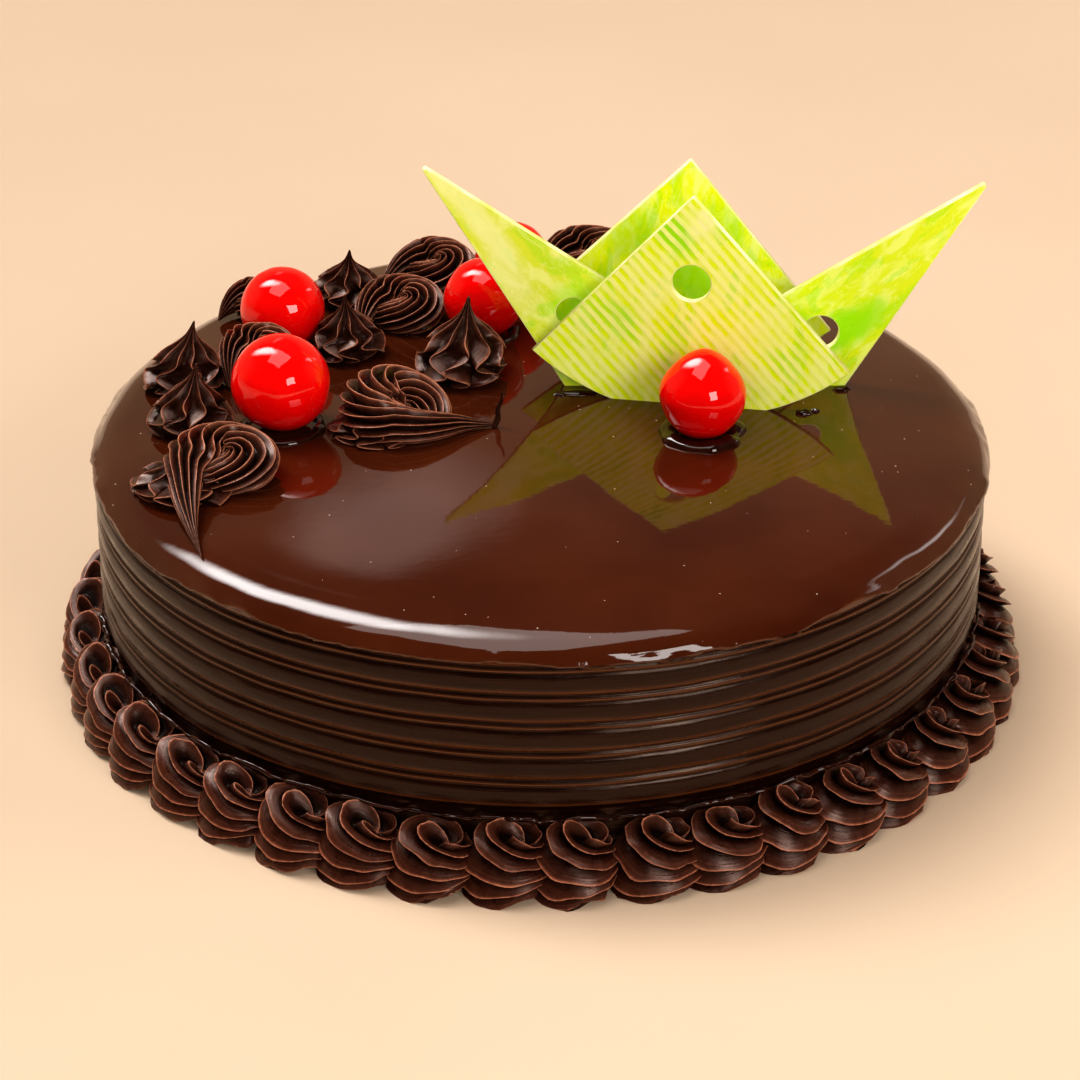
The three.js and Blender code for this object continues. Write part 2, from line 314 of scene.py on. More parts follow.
def ramp(tree, value, stops):
    """A colour ramp over a value. Stops are (position, colour)."""
    node = tree.nodes.new("ShaderNodeValToRGB")
    while len(node.color_ramp.elements) < len(stops):
        node.color_ramp.elements.new(0.5)
    for element, (position, color) in zip(node.color_ramp.elements, stops):
        element.position = position
        element.color = (*color, 1)
    tree.links.new(value, node.inputs["Fac"])
    return node.outputs["Color"]


def blend_color(tree, share, below, above):
    """One colour over another. Colours are sockets or triples."""
    node = tree.nodes.new("ShaderNodeMix")
    node.data_type = "RGBA"
    socket(tree, share, node.inputs["Factor"])
    for target, color in ((node.inputs[6], below), (node.inputs[7], above)):
        socket(tree, color if isinstance(color, bpy.types.NodeSocket) else (*color, 1), target)
    return node.outputs[2]


def bump(tree, shader, height, distance, below=None):
    """Presses a height pattern into the surface, over an earlier bump if there is one."""
    node = tree.nodes.new("ShaderNodeBump")
    node.inputs["Distance"].default_value = distance
    tree.links.new(height, node.inputs["Height"])
    if below is not None:
        tree.links.new(below, node.inputs["Normal"])
    tree.links.new(node.outputs["Normal"], shader.inputs["Normal"])
    return node.outputs["Normal"]


def attribute_value(tree, name):
    """A mesh attribute's value."""
    node = tree.nodes.new("ShaderNodeAttribute")
    node.attribute_name = name
    return node.outputs["Fac"]


# Glaze drawn out thinly over an edge, which lets light through. The same colour also stands as a painted
# highlight on the comb's narrow ridges and on the lip. Then the pale specks in the glaze on top.
THIN_GLAZE_AND_HIGHLIGHT = (0.115, 0.038, 0.012)
DUST_COLOR = (0.50, 0.40, 0.32)
# The glaze swells very slightly toward the middle, which shortens what it reflects.
DOME_RADIUS = 0.52

top_glaze, tree, shader = start_material("mirror_glaze", (0.042, 0.0085, 0.0032), 0.05)
where = object_place(tree)
tone = ramp(tree, noise_value(tree, where, 30),
            [(0.35, (0.042, 0.0078, 0.0020)), (0.65, (0.058, 0.0120, 0.0032))])
specks = tree.nodes.new("ShaderNodeTexVoronoi")
specks.inputs["Scale"].default_value = 290
tree.links.new(where, specks.inputs["Vector"])
speck_draw = tree.nodes.new("ShaderNodeSeparateColor")
tree.links.new(specks.outputs["Color"], speck_draw.inputs["Color"])
speck = math_node(tree, "MULTIPLY", math_node(tree, "LESS_THAN", specks.outputs["Distance"], 0.05),
                  math_node(tree, "GREATER_THAN", speck_draw.outputs["Red"], 0.55))
tone = blend_color(tree, speck, tone, DUST_COLOR)
# Narrow edges and the lip are coloured lighter: partly thinned glaze, partly a painted highlight.
tone = blend_color(tree, attribute_value(tree, "thin_and_lit"), tone, THIN_GLAZE_AND_HIGHLIGHT)
tree.links.new(tone, shader.inputs["Base Color"])
across = object_place(tree, (1, 1, 0))
squared = vector_math(tree, "DOT_PRODUCT", across, across)
dome = bump(tree, shader, math_node(tree, "MULTIPLY", squared, -0.5 / DOME_RADIUS), 1.0)
slow = bump(tree, shader, noise_value(tree, where, 26, detail=1), 0.5 * MM, dome)
fine = noise_value(tree, object_place(tree, (0.6, 1, 1)), 420, detail=2)
fine = bump(tree, shader, fine, 0.014 * MM, slow)
bump(tree, shader, speck, 0.05 * MM, fine)

side_glaze, tree, shader = start_material("combed_glaze", (0.02, 0.004, 0.0015), 0.20, ior=1.31)
where = object_place(tree, (1, 1, 40))
streaks = noise_value(tree, where, 45, detail=5, roughness=0.6)
tone = ramp(tree, streaks, [(0.3, (0.004, 0.0006, 0.0002)), (0.7, (0.015, 0.0030, 0.0008))])
# Narrow edges are coloured lighter: partly thinned glaze, partly a painted highlight.
tone = blend_color(tree, attribute_value(tree, "thin_and_lit"), tone, THIN_GLAZE_AND_HIGHLIGHT)
tree.links.new(tone, shader.inputs["Base Color"])
tree.links.new(remap(tree, attribute_value(tree, "thin_and_lit"), 0.0, 0.8, 0.72, 1.0),
               shader.inputs["Specular IOR Level"])
shader.inputs["Specular Tint"].default_value = (1.0, 0.76, 0.62, 1)
patches = noise_value(tree, object_place(tree, (1, 1, 4)), 60)
tree.links.new(remap(tree, patches, 0.35, 0.65, 0.16, 0.34), shader.inputs["Roughness"])
dragged = bump(tree, shader, streaks, 0.07 * MM)
bump(tree, shader, noise_value(tree, object_place(tree), 1100, detail=2), 0.02 * MM, dragged)

cake = mesh_object("glazed_cake", cake_mesh, [top_glaze, side_glaze])
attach(cake, "root")
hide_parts("cake_body")

# ---- Border of shells ------------------------------------
# Ganache squeezed from a star nozzle round the foot of the cake. Each shell is one short turn of the
# wrist: its fins wind down from the left, round the front, to the right, and close in a curl on top.

ganache, tree, shader = start_material("piped_ganache", (0.045, 0.012, 0.0065), 0.34, ior=1.42)
where = object_place(tree)
# The crest value, broken up by noise, paints light and shade on the piping: near black in the valleys is
# painted shade, copper on the crests is a painted highlight.
crest_light_break = math_node(tree, "MULTIPLY_ADD", noise_value(tree, where, 600, detail=4), 0.3, -0.15)
crest_light_and_shade = math_node(tree, "ADD", attribute_value(tree, "crest"), crest_light_break)
tone = ramp(tree, crest_light_and_shade, [
    (0.10, (0.0020, 0.0005, 0.0003)), (0.34, (0.032, 0.0082, 0.0038)), (0.60, (0.078, 0.0220, 0.0118)),
    (0.80, (0.230, 0.0780, 0.0420)), (0.96, (0.58, 0.24, 0.140))])
strand = tree.nodes.new("ShaderNodeCombineXYZ")
tree.links.new(attribute_value(tree, "strand"), strand.inputs["X"])
strands = noise_value(tree, strand.outputs["Vector"], 11, detail=3)
tone = blend_color(tree, remap(tree, strands, 0.62, 0.40, 0.0, 0.45), tone, (0.012, 0.003, 0.0015))
tree.links.new(tone, shader.inputs["Base Color"])
# The specular level also falls in the valleys, as painted shade.
tree.links.new(remap(tree, crest_light_and_shade, 0.05, 0.45, 0.08, 0.54), shader.inputs["Specular IOR Level"])
shader.inputs["Specular Tint"].default_value = (1.0, 0.74, 0.64, 1)
tree.links.new(remap(tree, noise_value(tree, where, 300), 0.3, 0.7, 0.22, 0.38), shader.inputs["Roughness"])
grain = bump(tree, shader, noise_value(tree, where, 1500, detail=2), 0.015 * MM)
lines = bump(tree, shader, strands, 0.12 * MM, grain)
bump(tree, shader, noise_value(tree, where, 260, detail=2), 0.08 * MM, lines)

SHELL_COUNT = 42
SHELL_SEAT = 104.6 * MM
SHELL_HALF_WIDTH = 9.4 * MM
SHELL_HALF_DEPTH = 7.0 * MM
SHELL_FINS = 3
SHELL_ROWS = 74
# Up the shell: share of the rows, share of the width, height of the middle and depth of the fins in mm,
# tilt down to the right and down to the front in degrees, and how far the middle has moved right in mm.
SHELL_RISE = [(0.0, 0.98, 0.2, 1.0, -15, 0, 0.0), (0.12, 1.06, 2.2, 2.0, -17, 0, 0.0),
              (0.30, 1.05, 5.2, 2.7, -12, 1, 0.0), (0.48, 0.99, 8.4, 2.9, -3, 2, 0.2),
              (0.64, 0.90, 11.2, 2.9, 8, 3, 0.6), (0.78, 0.74, 13.5, 2.8, 16, 4, 1.4),
              (0.88, 0.54, 14.6, 2.5, 21, 5, 2.6), (0.94, 0.36, 13.9, 1.9, 23, 5, 3.5),
              (0.98, 0.18, 12.3, 0.8, 23, 5, 4.0), (1.0, 0.04, 11.0, 0.0, 23, 5, 4.0)]
# The last part of the wrist's turn, which curls the fins in on top: the share of the rows where it
# starts, the share that it takes, and its turns.
CURL_STARTS = 0.72
CURL_TAKES = 0.28
CURL_TURNS = 0.3
# Down a fin from its crest to the next: the share of the way, how deep it lies, how far it droops.
SKIRT = [(0.0, 0.0, 1.0), (0.025, 0.07, 0.95), (0.06, 0.45, 0.55), (0.11, 0.92, 0.15), (0.17, 1.0, 0.0),
         (0.32, 0.90, 0.0), (0.50, 0.72, 0.05), (0.68, 0.50, 0.2), (0.83, 0.27, 0.5), (0.93, 0.10, 0.85),
         (0.98, 0.03, 0.97)]


def smooth_between(table, at):
    """Values of a table at a place along its first column, on a smooth curve through its rows."""
    last = len(table) - 1
    index = next(row for row in range(last) if at <= table[row + 1][0])
    share = (at - table[index][0]) / (table[index + 1][0] - table[index][0])
    rows = [table[min(last, max(0, index + step))][1:] for step in (-1, 0, 1, 2)]
    result = []
    for before, start, end, after in zip(*rows):
        curve = 2 * start + (end - before) * share + (2 * before - 5 * start + 4 * end - after) * share ** 2
        result.append(0.5 * (curve + (3 * start - before - 3 * end + after) * share ** 3))
    return result


def crest_share(deep):
    """How much of a fin's crest a point is that lies so deep in the valley beside it. The piping's colour
    ramp turns this into painted shade in the valleys and a painted highlight on the crests.
    """
    return max(0.62 * (1 - deep), 0.96 - 4 * deep)


def draw_rings(rings, crests, strands, tip_rise=0.0):
    """A closed skin over a stack of rings of points: a flat foot, the wall, and one point at the tip."""
    mesh = bmesh.new()
    mesh.verts.layers.int.new("place")
    mesh.verts.layers.float.new("crest")
    mesh.verts.layers.float.new("strand")
    ring = bmesh.ops.create_circle(mesh, cap_ends=True, radius=1, segments=len(rings[0]))["verts"]
    place_of = mesh.verts.layers.int["place"]
    crest_of = mesh.verts.layers.float["crest"]
    strand_of = mesh.verts.layers.float["strand"]
    for index, vert in enumerate(ring):
        vert[place_of] = index
        vert[crest_of] = crests[index]
        vert[strand_of] = strands[index]
        vert.co = rings[0][index]
    edges = mesh.edges[:]
    for points in rings[1:]:
        grown = bmesh.ops.extrude_edge_only(mesh, edges=edges)["geom"]
        ring = [part for part in grown if isinstance(part, bmesh.types.BMVert)]
        edges = [part for part in grown if isinstance(part, bmesh.types.BMEdge)]
        for vert in ring:
            vert.co = points[vert[place_of]]
    tip = sum(rings[-1], Vector()) / len(rings[-1]) + Vector((0, 0, tip_rise))
    bmesh.ops.pointmerge(mesh, verts=ring, merge_co=tip)
    bmesh.ops.recalc_face_normals(mesh, faces=mesh.faces)
    mesh.verts.layers.int.remove(place_of)
    return mesh


def make_piece(name, meshes, material):
    """Joins meshes of one material into one smooth object at the origin."""
    whole = bmesh.new()
    for mesh in meshes:
        part = bpy.data.meshes.new("part")
        mesh.to_mesh(part)
        mesh.free()
        whole.from_mesh(part)
        bpy.data.meshes.remove(part)
    for face in whole.faces:
        face.smooth = True
    return mesh_object(name, whole, [material])


def shell_mesh(number):
    """One shell, drawn with x along the border and -y outward, then carried round to its place."""
    draw = random.Random(300 + number)
    wind = draw.uniform(1.72, 1.86)
    start = draw.uniform(-0.5, 0.5)
    width = SHELL_HALF_WIDTH * draw.uniform(0.95, 1.06)
    flatness = SHELL_HALF_DEPTH * draw.uniform(0.94, 1.03) / width
    tall = draw.uniform(0.92, 1.03)
    tilt = draw.uniform(-4, 4)
    swing = Matrix.Rotation(math.radians(draw.uniform(0, 10)), 3, "Z")
    turns, skirts, strands = [], [], []
    for index in range(SHELL_FINS * len(SKIRT)):
        fin, sample = divmod(index, len(SKIRT))
        way = SKIRT[-sample % len(SKIRT)]
        across = 0 if sample == 0 else 1 - way[0]
        strands.append(fin + across)
        turns.append((fin + across) / SHELL_FINS * math.tau)
        skirts.append(way)
    rings = []
    for row in range(SHELL_ROWS):
        share = row / (SHELL_ROWS - 1)
        wide, height, fin_depth, tilt_right, tilt_front, aside = smooth_between(SHELL_RISE, share)
        ahead = smooth_between(SHELL_RISE, min(1, share + 0.02))
        behind = smooth_between(SHELL_RISE, max(0, share - 0.02))
        slope = Vector(((ahead[0] - behind[0]) * width / MM, ahead[1] - behind[1])).normalized()
        curl = CURL_TURNS * ease((share - CURL_STARTS) / CURL_TAKES)
        wound = start + math.tau * (wind * share ** 0.78 + curl)
        plane = (Matrix.Rotation(math.radians(tilt_front), 3, "X")
                 @ Matrix.Rotation(math.radians(tilt_right + tilt), 3, "Y"))
        middle = Vector((aside * MM, 0.8 * MM * share, height * tall * MM))
        points = []
        for turn, (_, deep, droop) in zip(turns, skirts):
            angle = turn - wound
            x, y = math.cos(angle), math.sin(angle)
            torn = ripple(x, y, 1.8, share * 7, number * 5)
            fine = ripple(x, y, 9, share * 20, number * 5)
            foot = max(0, 1 - share / 0.2)
            ragged = 0.55 * torn + 0.10 * fine + foot * (1.4 * torn + 0.5 * fine)
            push = -deep * fin_depth + (1 - deep) * ragged
            sag = droop * fin_depth * 0.5 * (1 + 0.6 * torn)
            radius = wide * width + (push * slope.y - sag * slope.x) * MM
            spot = Vector((radius * x, radius * y * flatness, (-push * slope.x - sag * slope.y) * MM))
            spot = middle + swing @ (plane @ spot)
            spot.z = max(0.05 * MM * share, spot.z)
            points.append(spot)
        rings.append(points)
    mesh = draw_rings(rings, [crest_share(deep) for _, deep, _ in skirts], strands)
    seat = math.tau * (number + 0.5 + draw.uniform(-0.06, 0.06)) / SHELL_COUNT
    mesh.transform(Matrix.Rotation(seat, 4, "Z") @ Matrix.Translation((0, -SHELL_SEAT, 0)))
    return mesh


SHELLS_A_PIECE = 14
for first in range(0, SHELL_COUNT, SHELLS_A_PIECE):
    meshes = [shell_mesh(number) for number in range(first, first + SHELLS_A_PIECE)]
    shells = make_piece(f"border_shells_{first // SHELLS_A_PIECE + 1}", meshes, ganache)
    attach(shells, "root")
    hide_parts("shell_border")

# ---- Star-piped drops ------------------------------------
# Small peaks of ganache pressed straight down from a star nozzle and pulled off upward. The fins are
# straight at the tip and buckle into waves at the hem, where the ganache was squeezed out.

DROP_FINS = 9
DROP_ROWS = 46
# Up the drop: share of the height, share of the radius, depth of the valleys, share of the hem's wave.
DROP_RISE = [(0.0, 0.66, 0.10, 0.4), (0.05, 0.84, 0.16, 0.8), (0.12, 0.97, 0.24, 1.0),
             (0.20, 1.0, 0.30, 1.0), (0.30, 0.96, 0.34, 0.85), (0.40, 0.86, 0.35, 0.6),
             (0.50, 0.70, 0.36, 0.3), (0.60, 0.49, 0.38, 0.1), (0.70, 0.275, 0.42, 0.0),
             (0.79, 0.145, 0.42, 0.0), (0.88, 0.075, 0.35, 0.0), (0.95, 0.042, 0.15, 0.0),
             (1.0, 0.022, 0.0, 0.0)]
# Across a fin of an open star: share of the way from crest to crest, and how deep it lies. The drops'
# fins are sharp with wide flutes between them, and the swirls' fins are round.
SHARP_STAR = [(0.0, 0.0), (0.02, 0.05), (0.05, 0.17), (0.12, 0.42), (0.25, 0.76), (0.5, 1.0), (0.75, 0.76),
              (0.88, 0.42), (0.95, 0.17), (0.98, 0.05)]
ROUND_STAR = [(0.0, 0.0), (0.03, 0.03), (0.07, 0.09), (0.16, 0.26), (0.31, 0.58), (0.5, 1.0), (0.69, 0.58),
              (0.84, 0.26), (0.93, 0.09), (0.97, 0.03)]
# Node, place, radius, how far the tip leans, height, and a seed.
DROPS = [("star_drop_1", (-79.8, -3.6), 9.3, (2.6, 1.0), 16, 5),
         ("star_drop_2", (-82.6, 19.4), 9.6, (2.8, 1.0), 16, 2),
         ("star_drop_3", (-47.2, 67.0), 9.3, (1.0, -1.0), 14, 3),
         ("star_drop_4", (-45.4, 37.2), 9.2, (-0.6, 0), 15, 4),
         ("star_drop_5", (-18.3, 26.0), 11.1, (1.8, 1.6), 19, 8)]


def star_ring(fins, star):
    """Turns, depths and strands of the points round a star-shaped ring."""
    strands = [fin + share for fin in range(fins) for share, _ in star]
    return [strand / fins * math.tau for strand in strands], [deep for _, deep in star] * fins, strands


def drop_mesh(at, radius, tip_off, height, seed):
    """One star-piped drop, standing on the glaze."""
    turns, depths, strands = star_ring(DROP_FINS, SHARP_STAR)
    ground = top_height(at[0] * MM, at[1] * MM)
    rings = []
    for row in range(DROP_ROWS):
        share = (row / (DROP_ROWS - 1)) ** 0.9
        wide, valley, wave = smooth_between(DROP_RISE, share)
        points = []
        for turn, deep in zip(turns, depths):
            x, y = math.cos(turn), math.sin(turn)
            own = ripple(x, y, 1.6, 0.5, seed * 7)
            other = noise.noise(Vector((x * 2.5, y * 2.5 + seed * 3, 4.5)))
            rough = ripple(x, y, 6, share * 9, seed)
            buckle = wave * (0.36 * math.sin(share * 20 + own * 5) + 0.2 * own)
            angle = turn + buckle + 0.5 * share + seed
            reach = radius * wide * (1 - valley * deep + 0.04 * rough * (1 - share) + 0.16 * wave * other)
            lift = height * share - 1.0 * wave * (1 - deep) * (0.6 + other) * min(1, share * 12)
            lean = share ** 1.6
            points.append(Vector((at[0] + tip_off[0] * lean + reach * math.cos(angle),
                                  at[1] + tip_off[1] * lean + reach * math.sin(angle),
                                  ground / MM + max(0.02 * row, lift))) * MM)
        rings.append(points)
    # The flutes' crest value is held up, so they get less painted shade than the shells' valleys.
    return draw_rings(rings, [max(0.22, crest_share(deep)) for deep in depths], strands, 0.15 * MM)


for node, *shape in DROPS:
    drop = make_piece(node.replace("star_drop", "piped_peak"), [drop_mesh(*shape)], ganache)
    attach(drop, "root")
    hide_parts(node)

# ---- Piped rosettes --------------------------------------
# A ribbed rope of ganache laid once round in a small circle. Its fins roll in toward the middle, and
# the end lies over the start and is drawn off to a point.

ROPE_FINS = 12
ROPE_ROWS = 110
# Along a rope: share of the way, then in mm from the middle of the swirl its place x and y, the height
# of its middle, its half width and its half height.
ROPE_TO_FRONT = [(0.00, -5.5, -4.5, 2.8, 2.6, 2.4), (0.07, -2.0, -4.8, 3.2, 4.0, 3.4),
                 (0.16, 2.6, -3.8, 3.6, 5.0, 4.2), (0.26, 5.6, -0.2, 4.0, 6.2, 4.8),
                 (0.36, 4.8, 4.4, 4.6, 6.6, 5.2), (0.46, 0.6, 7.0, 5.0, 6.6, 5.4),
                 (0.56, -4.4, 5.4, 5.3, 6.2, 5.4), (0.65, -7.6, 1.0, 5.5, 5.4, 5.2),
                 (0.73, -8.2, -5.0, 5.4, 4.6, 4.8), (0.81, -7.6, -11.0, 4.7, 3.7, 4.0),
                 (0.88, -6.6, -18, 3.3, 2.6, 2.9), (0.94, -5.0, -25.5, 1.9, 1.3, 1.7),
                 (0.975, -3.4, -31, 1.0, 0.5, 0.8), (1.0, -2.2, -35, 0.5, 0.15, 0.3)]
ROPE_TO_RIGHT = [(0.00, 3.0, -3.5, 2.4, 2.6, 2.2), (0.08, 5.0, -1.0, 3.0, 3.8, 3.0),
                 (0.18, 5.2, 3.0, 4.0, 5.2, 4.2), (0.28, 2.0, 7.2, 5.0, 6.2, 5.4),
                 (0.38, -3.6, 8.6, 5.8, 6.8, 6.2), (0.48, -8.0, 4.6, 5.8, 7.0, 6.2),
                 (0.57, -8.4, -0.8, 5.2, 6.6, 5.4), (0.66, -4.8, -4.4, 4.4, 5.8, 4.6),
                 (0.75, 1.5, -5.0, 3.8, 4.6, 4.0), (0.83, 7.2, -3.4, 3.1, 3.2, 3.2),
                 (0.90, 12.0, -0.8, 2.2, 1.9, 2.2), (0.955, 16.4, 0.8, 1.3, 0.9, 1.2),
                 (1.0, 20.3, 2.0, 0.6, 0.15, 0.3)]
# A rope with its end cut short, for the rosettes at the back.
ROPE_SHORT = ROPE_TO_FRONT[:8] + [(0.76, -7.9, -4.5, 5.0, 4.2, 4.6), (0.86, -6.6, -9.5, 3.9, 3.0, 3.6),
                                  (0.94, -4.6, -13.5, 2.2, 1.5, 2.0), (1.0, -2.4, -16.5, 0.6, 0.15, 0.3)]
# Node, middle of the swirl, rope, roll of its fins, height of the eye of the swirl in mm, scale across
# and up, turn in degrees, and a seed.
ROSETTES = [("rosette_1", (-69.3, -29.5), ROPE_TO_FRONT, 4.0, 7.0, 1.0, 1.0, 0, 1),
            ("rosette_2", (-30.3, -4.5), ROPE_TO_RIGHT, 4.8, 6.4, 1.0, 1.0, 0, 2),
            ("rosette_3", (-65.8, 26.0), ROPE_SHORT, 4.4, 7.0, 0.72, 1.0, -20, 3),
            ("rosette_4", (-69.2, 57.8), ROPE_SHORT, 4.4, 7.0, 0.55, 0.8, -60, 4),
            ("rosette_5", (-33.4, 53.5), ROPE_SHORT, 4.4, 7.0, 0.82, 0.98, -35, 5),
            ("rosette_6", (-26.2, 76.0), ROPE_SHORT, 4.4, 7.0, 0.80, 0.98, -70, 6),
            ("rosette_7", (12.2, 82.2), ROPE_SHORT, 4.4, 7.0, 0.90, 1.0, -50, 7)]
# Petals of the first squeeze, which show beside the rope: place, radius, height and seed.
PETALS = {"rosette_1": ((-78.6, -33.8), 11.0, 9.5, 3), "rosette_2": ((-37.6, -4.6), 10.4, 7, 6)}
# The share of the rope where the swirl starts to straighten, and the share that this takes.
SWIRL_ENDS = 0.60
SWIRL_FADES = 0.16


def rosette_mesh(at, rope, roll, eye, scale, tall, turned, seed):
    """One rosette: a star-shaped section swept along its path. In the swirl its inner side runs in to the
    eye, and its fins roll inward until the rope is drawn off straight."""
    turns, depths, strands = star_ring(ROPE_FINS, ROUND_STAR)
    facing = Matrix.Rotation(math.radians(turned), 3, "Z")
    rings = []
    for row in range(ROPE_ROWS):
        share = row / (ROPE_ROWS - 1)
        x, y, z, wide, high = smooth_between(rope, share)
        ahead = smooth_between(rope, min(1, share + 0.01))
        behind = smooth_between(rope, max(0, share - 0.01))
        along = Vector((ahead[0] - behind[0], ahead[1] - behind[1], 0)).normalized()
        side = Vector((along.y, -along.x, 0))
        swirl = 1 - ease((share - SWIRL_ENDS) / SWIRL_FADES)
        inner = wide + swirl * (math.hypot(x, y) - wide)
        level = swirl * (eye - z) / high
        points = []
        for turn, deep in zip(turns, depths):
            angle = turn + roll * min(share, 0.7) / 0.7 + seed
            across, up = math.cos(angle), math.sin(angle)
            rough = ripple(across, up, 1.5, share * 9, seed * 9)
            fine = noise.noise(Vector((across * 4, up * 4 + seed * 9, share * 40)))
            reach = 1 - 0.44 * deep * min(1, wide / 3) + 0.06 * rough + 0.02 * fine
            lift = up if across > 0 else level + (1 - math.copysign(level, up)) * up
            out = across * (wide if across > 0 else inner)
            spot = facing @ (Vector((x, y, 0)) + side * (out * reach)) * scale * MM
            spot += Vector((at[0] * MM, at[1] * MM, 0))
            sunk = 0.9 * deep * swirl * max(0, up)
            spot.z = top_height(spot.x, spot.y) + max(0.04, (z + high * lift * reach - sunk) * tall) * MM
            points.append(spot)
        rings.append(points)
    # A wider bright crest on the swirls gives a broader painted highlight along them.
    crests = [max(crest_share(deep), 0.96 - 2.6 * deep) for deep in depths]
    return draw_rings(rings, crests, strands)


# The hair that stands up where the second rosette's rope was drawn off: points along it, and its radius
# at the foot, in mm.
HAIR = [(-10.6, -2.7, 58.3), (-9.6, -2.5, 60.0), (-9.5, -2.5, 62.6), (-8.6, -2.6, 65.0), (-8.5, -2.7, 67.0)]
HAIR_RADIUS = 0.9
HAIR_SIDES = 8
HAIR_STEPS = 8


def hair_mesh(points, radius):
    """A hair of ganache through points in mm, thinning to its end."""
    turns = [math.tau * side / HAIR_SIDES for side in range(HAIR_SIDES)]
    rings = []
    steps = HAIR_STEPS * (len(points) - 1)
    table = [(index / (len(points) - 1), *point) for index, point in enumerate(points)]
    for step in range(steps + 1):
        share = step / steps
        middle = Vector(smooth_between(table, share))
        thick = radius * (1 - 0.8 * share)
        ahead = Vector(smooth_between(table, min(1, share + 0.05)))
        behind = Vector(smooth_between(table, max(0, share - 0.05)))
        facing = (ahead - behind).to_track_quat("Z", "X").to_matrix()
        ring = [Vector((math.cos(turn), math.sin(turn), 0)) * thick for turn in turns]
        rings.append([(middle + facing @ spot) * MM for spot in ring])
    return draw_rings(rings, [0.3] * HAIR_SIDES, [0.0] * HAIR_SIDES)


for node, *shape in ROSETTES:
    parts = [rosette_mesh(*shape)]
    if node in PETALS:
        place, radius, height, seed = PETALS[node]
        parts.append(drop_mesh(place, radius, (0, 0), height, seed))
    if node == "rosette_2":
        parts.append(hair_mesh(HAIR, HAIR_RADIUS))
    swirl = make_piece(node.replace("rosette", "piped_swirl"), parts, ganache)
    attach(swirl, "root")
    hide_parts(node)

# ---- Glazed cherries -------------------------------------
# Candied cherries in a thick clear red syrup that has set hard and glossy. Each was pressed into the
# glaze, so its foot is flat.

# Node, seed, and how much it narrows toward the top.
CHERRIES = [("cherry_1", 5, 0.0), ("cherry_2", 11, 0.0), ("cherry_3", 23, 0.0), ("cherry_4", 31, 0.22),
            ("cherry_5", 47, 0.0)]

cherry_red, tree, shader = start_material("cherry_syrup", (0.70, 0.004, 0.003), 0.5, ior=1.45)
shader.inputs["Specular IOR Level"].default_value = 0.0
shader.inputs["Coat Weight"].default_value = 1.0
shader.inputs["Coat Roughness"].default_value = 0.02
shader.inputs["Coat IOR"].default_value = 1.5
where = object_place(tree)
tone = ramp(tree, noise_value(tree, where, 90, detail=2),
            [(0.3, (0.68, 0.0006, 0.0005)), (0.7, (0.84, 0.0014, 0.0007))])
tree.links.new(tone, shader.inputs["Base Color"])
bump(tree, shader, noise_value(tree, where, 170, detail=2), 0.35 * MM)

for node, seed, narrow in CHERRIES:
    low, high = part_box(node)
    middle = (low + high) / 2
    radius = (high.x - low.x) / 2
    stretch = 1.05 if narrow else 1.0
    middle.z = high.z - radius * stretch
    mesh = bmesh.new()
    bmesh.ops.create_uvsphere(mesh, u_segments=64, v_segments=40, radius=1)
    for vert in mesh.verts:
        lump = 1 + 0.022 * noise.noise(vert.co * 1.6 + Vector((seed, 0, 0)))
        lump += 0.006 * noise.noise(vert.co * 4 + Vector((seed, 0, 0)))
        waist = 1 - narrow * max(0, vert.co.z) ** 1.5
        shape = Vector((vert.co.x * waist, vert.co.y * waist, vert.co.z * stretch))
        vert.co = middle + shape * radius * lump
        vert.co.z = max(CAKE_TOP + 0.02 * MM, vert.co.z)
    cherry = make_piece(node.replace("cherry", "candied_cherry"), [mesh], cherry_red)
    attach(cherry, "root")
    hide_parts(node)

# ---- Puddles of glaze ------------------------------------
# Where a cherry or a panel was pushed in, the glaze rose in a low wet ring or a few small lumps. They
# set with the same gloss as the top.

wet_glaze, tree, shader = start_material("wet_glaze", (0.020, 0.004, 0.0015), 0.05)
where = object_place(tree)
tone = ramp(tree, noise_value(tree, where, 200), [(0.3, (0.012, 0.002, 0.001)), (0.7, (0.03, 0.006, 0.002))])
tree.links.new(tone, shader.inputs["Base Color"])
bump(tree, shader, noise_value(tree, where, 200, detail=1), 0.08 * MM)

# Cherry, seed and half width of its ring in mm. A ring lies at a share of its cherry's radius, and its
# height is a share of its half width.
RINGS = [("cherry_1", 1, 1.2), ("cherry_2", 2, 1.3), ("cherry_3", 3, 1.2), ("cherry_4", 4, 2.1),
         ("cherry_5", 5, 1.2)]
RING_PLACE = 0.77
RING_RISE = 0.7
# Centre, half size in mm and seed of each lump.
LUMPS = [((8.5, 15.0), (4.4, 1.5, 0.8), 1), ((4.5, 14.2), (1.6, 0.9, 0.6), 2),
         ((60.5, 4.6), (1.9, 1.2, 1.0), 3), ((63.0, 5.6), (1.1, 0.8, 0.7), 4),
         ((70.0, 17.2), (2.2, 1.3, 0.8), 5)]
RING_ARC_STEPS = 8
RING_TURN_STEPS = 72


